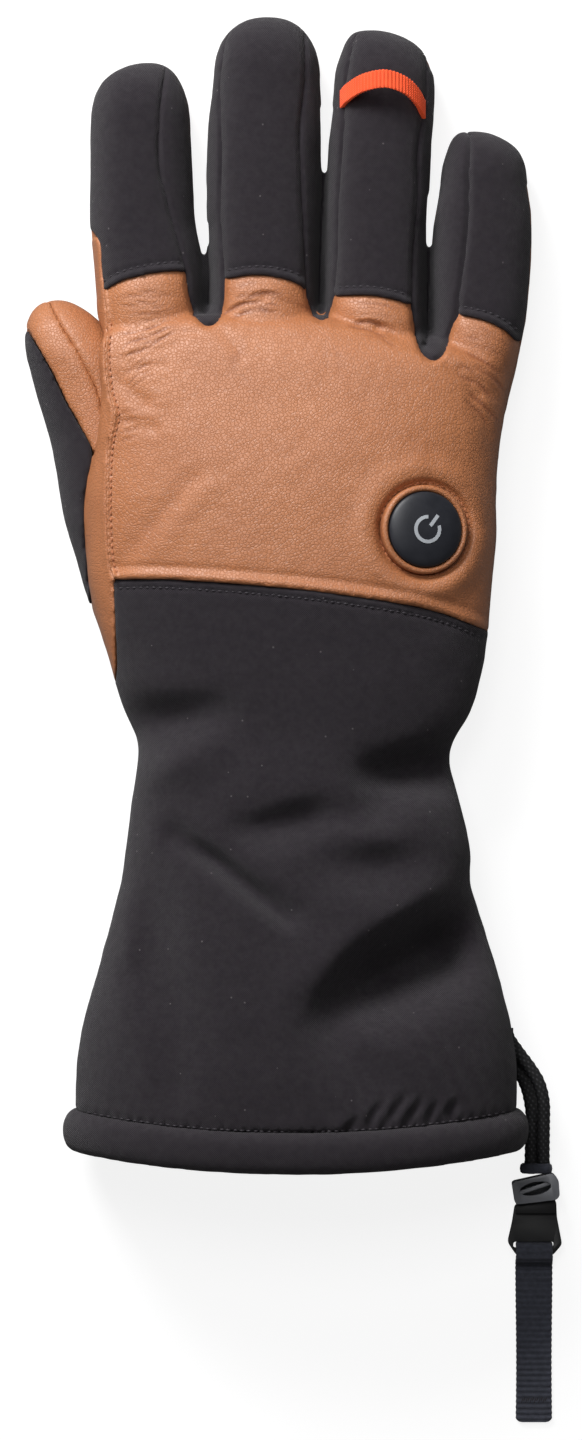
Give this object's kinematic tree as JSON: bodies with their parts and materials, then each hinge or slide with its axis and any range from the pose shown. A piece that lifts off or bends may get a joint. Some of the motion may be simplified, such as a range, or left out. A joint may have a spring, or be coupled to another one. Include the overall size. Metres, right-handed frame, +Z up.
{
  "type": "heated glove",
  "caption": "Right-hand heated work glove with a long gauntlet cuff, tan leather, black softshell, a round power button and a drawcord",
  "frame": {"origin": "On the surface that the glove lies on, midway across it and along it, without the drawcord", "axes": "X runs from the thumb to the little finger, Y from the cuff to the fingertips, Z up from the surface, out of the back of the hand"},
  "size_m": [0.1539, 0.4005, 0.0602],
  "materials": {
    "softshell": "black woven softshell, matt",
    "tan_leather": "smooth tan goatskin with fine wrinkles",
    "button_rubber": "matt blue-black soft rubber",
    "dark_plastic": "plain black plastic",
    "orange_webbing": "bright orange narrow webbing",
    "dark_webbing": "dark ribbed webbing",
    "braided_cord": "dark braid with light grey flecks",
    "grey_plastic": "satin grey moulded plastic"
  },
  "bodies": {
    "glove": {"index_back": "softshell", "middle_back": "softshell", "ring_back": "softshell", "little_back": "softshell", "index_middle_gusset": "softshell", "middle_ring_gusset": "softshell", "ring_little_gusset": "softshell", "hand_back": "tan_leather", "palm": "tan_leather", "thumb_back": "softshell", "thumb_top": "tan_leather", "thumb_inner": "tan_leather", "gauntlet_back": "softshell", "gauntlet_front": "softshell", "hem": "softshell", "button_bezel": "tan_leather", "button_base": "dark_plastic", "finger_loop": "orange_webbing", "cord_tab": "dark_webbing", "drawcord_outer": "braided_cord", "drawcord_inner": "braided_cord", "cord_lock": "grey_plastic", "pull_tab": "dark_webbing"},
    "button": {"power_button": "button_rubber"}
  },
  "joints": [
    {"name": "button_press", "type": "slide", "parent": "glove", "child": "button", "axis": [-0.2871, -0.0196, -0.9577], "range_m": [0, 0.0008], "stiffness_N_per_m": 800}
  ]
}
